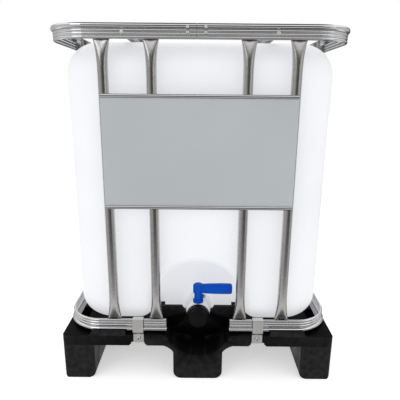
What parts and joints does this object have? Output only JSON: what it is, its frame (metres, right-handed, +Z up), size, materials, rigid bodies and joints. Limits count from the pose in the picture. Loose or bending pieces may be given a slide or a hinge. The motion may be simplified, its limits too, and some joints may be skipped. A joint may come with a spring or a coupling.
{
  "type": "intermediate bulk container",
  "caption": "Caged bulk liquid container: moulded bottle on a black four-way pallet, tubular cage with corrugated rails, label plate and lever outlet valve.",
  "frame": {"origin": "centre of the pallet's footprint, on the floor", "axes": "+X to the right seen from the valve side, -Y out of the front where the valve is, +Z up"},
  "size_m": [0.8, 1.2, 1],
  "materials": {
    "pallet_plastic": "moulded black polyethylene, semi-matte",
    "bottle_plastic": "natural white polyethylene, satin",
    "natural_plastic": "moulded natural polyethylene, satin",
    "tube_steel": "galvanised, satin",
    "rail_steel": "galvanised and roll-formed, bright satin",
    "plain_steel": "galvanised",
    "clamp_steel": "galvanised, matte",
    "fastener_steel": "bright zinc",
    "plate_coating": "flat grey, satin",
    "black_plastic": "moulded black, semi-gloss",
    "seal_rubber": "black",
    "blue_plastic": "moulded blue",
    "screw_brass": "plain"
  },
  "bodies": {
    "container": {"pallet_deck": "pallet_plastic", "foot_front_left": "pallet_plastic", "foot_front_centre": "pallet_plastic", "foot_front_right": "pallet_plastic", "foot_middle_left": "pallet_plastic", "foot_middle_centre": "pallet_plastic", "foot_middle_right": "pallet_plastic", "foot_rear_left": "pallet_plastic", "foot_rear_centre": "pallet_plastic", "foot_rear_right": "pallet_plastic", "bottom_rail": "rail_steel", "top_rail": "rail_steel", "top_rail_splice": "plain_steel", "splice_rivets": "fastener_steel", "tube_front_1": "tube_steel", "tube_front_2": "tube_steel", "tube_front_3": "tube_steel", "tube_front_4": "tube_steel", "tube_rear_1": "tube_steel", "tube_rear_2": "tube_steel", "tube_rear_3": "tube_steel", "tube_rear_4": "tube_steel", "tube_left_1": "tube_steel", "tube_left_2": "tube_steel", "tube_left_3": "tube_steel", "tube_left_4": "tube_steel", "tube_left_5": "tube_steel", "tube_right_1": "tube_steel", "tube_right_2": "tube_steel", "tube_right_3": "tube_steel", "tube_right_4": "tube_steel", "tube_right_5": "tube_steel", "label_plate": "plate_coating", "label_clips": "plain_steel", "top_bar_left": "plain_steel", "top_bar_right": "plain_steel", "top_bar_bolts": "fastener_steel", "top_bar_nuts": "fastener_steel", "clamps_front": "clamp_steel", "clamps_rear": "clamp_steel", "clamps_left": "clamp_steel", "clamps_right": "clamp_steel", "clamp_bolts": "fastener_steel", "clamp_nuts": "fastener_steel", "bottle": "bottle_plastic", "valve_body": "natural_plastic", "valve_liner": "seal_rubber", "stem_seals": "seal_rubber", "collar_nut": "natural_plastic", "valve_gasket": "seal_rubber"},
    "handle": {"valve_handle": "blue_plastic", "handle_screw": "screw_brass", "valve_stem": "black_plastic", "valve_disc": "black_plastic"},
    "outlet_cap": {"outlet_cap": "black_plastic", "outlet_cap_gasket": "seal_rubber"},
    "lid": {"lid": "black_plastic", "lid_gasket": "seal_rubber"},
    "vent_plug": {"vent_plug": "black_plastic", "vent_plug_gasket": "seal_rubber"}
  },
  "joints": [
    {"name": "valve_turn", "type": "hinge", "parent": "container", "child": "handle", "pos_m": [0, -0.518, 0.22], "axis": [0, 0, -1], "range_deg": [0, 90]},
    {"name": "outlet_cap_off", "type": "slide", "parent": "container", "child": "outlet_cap", "axis": [0, -1, 0], "range_m": [0, 0.06]},
    {"name": "lid_lift", "type": "slide", "parent": "container", "child": "lid", "axis": [0, 0, 1], "range_m": [0, 0.12]},
    {"name": "vent_plug_lift", "type": "slide", "parent": "lid", "child": "vent_plug", "axis": [0, 0, 1], "range_m": [0, 0.05]}
  ]
}
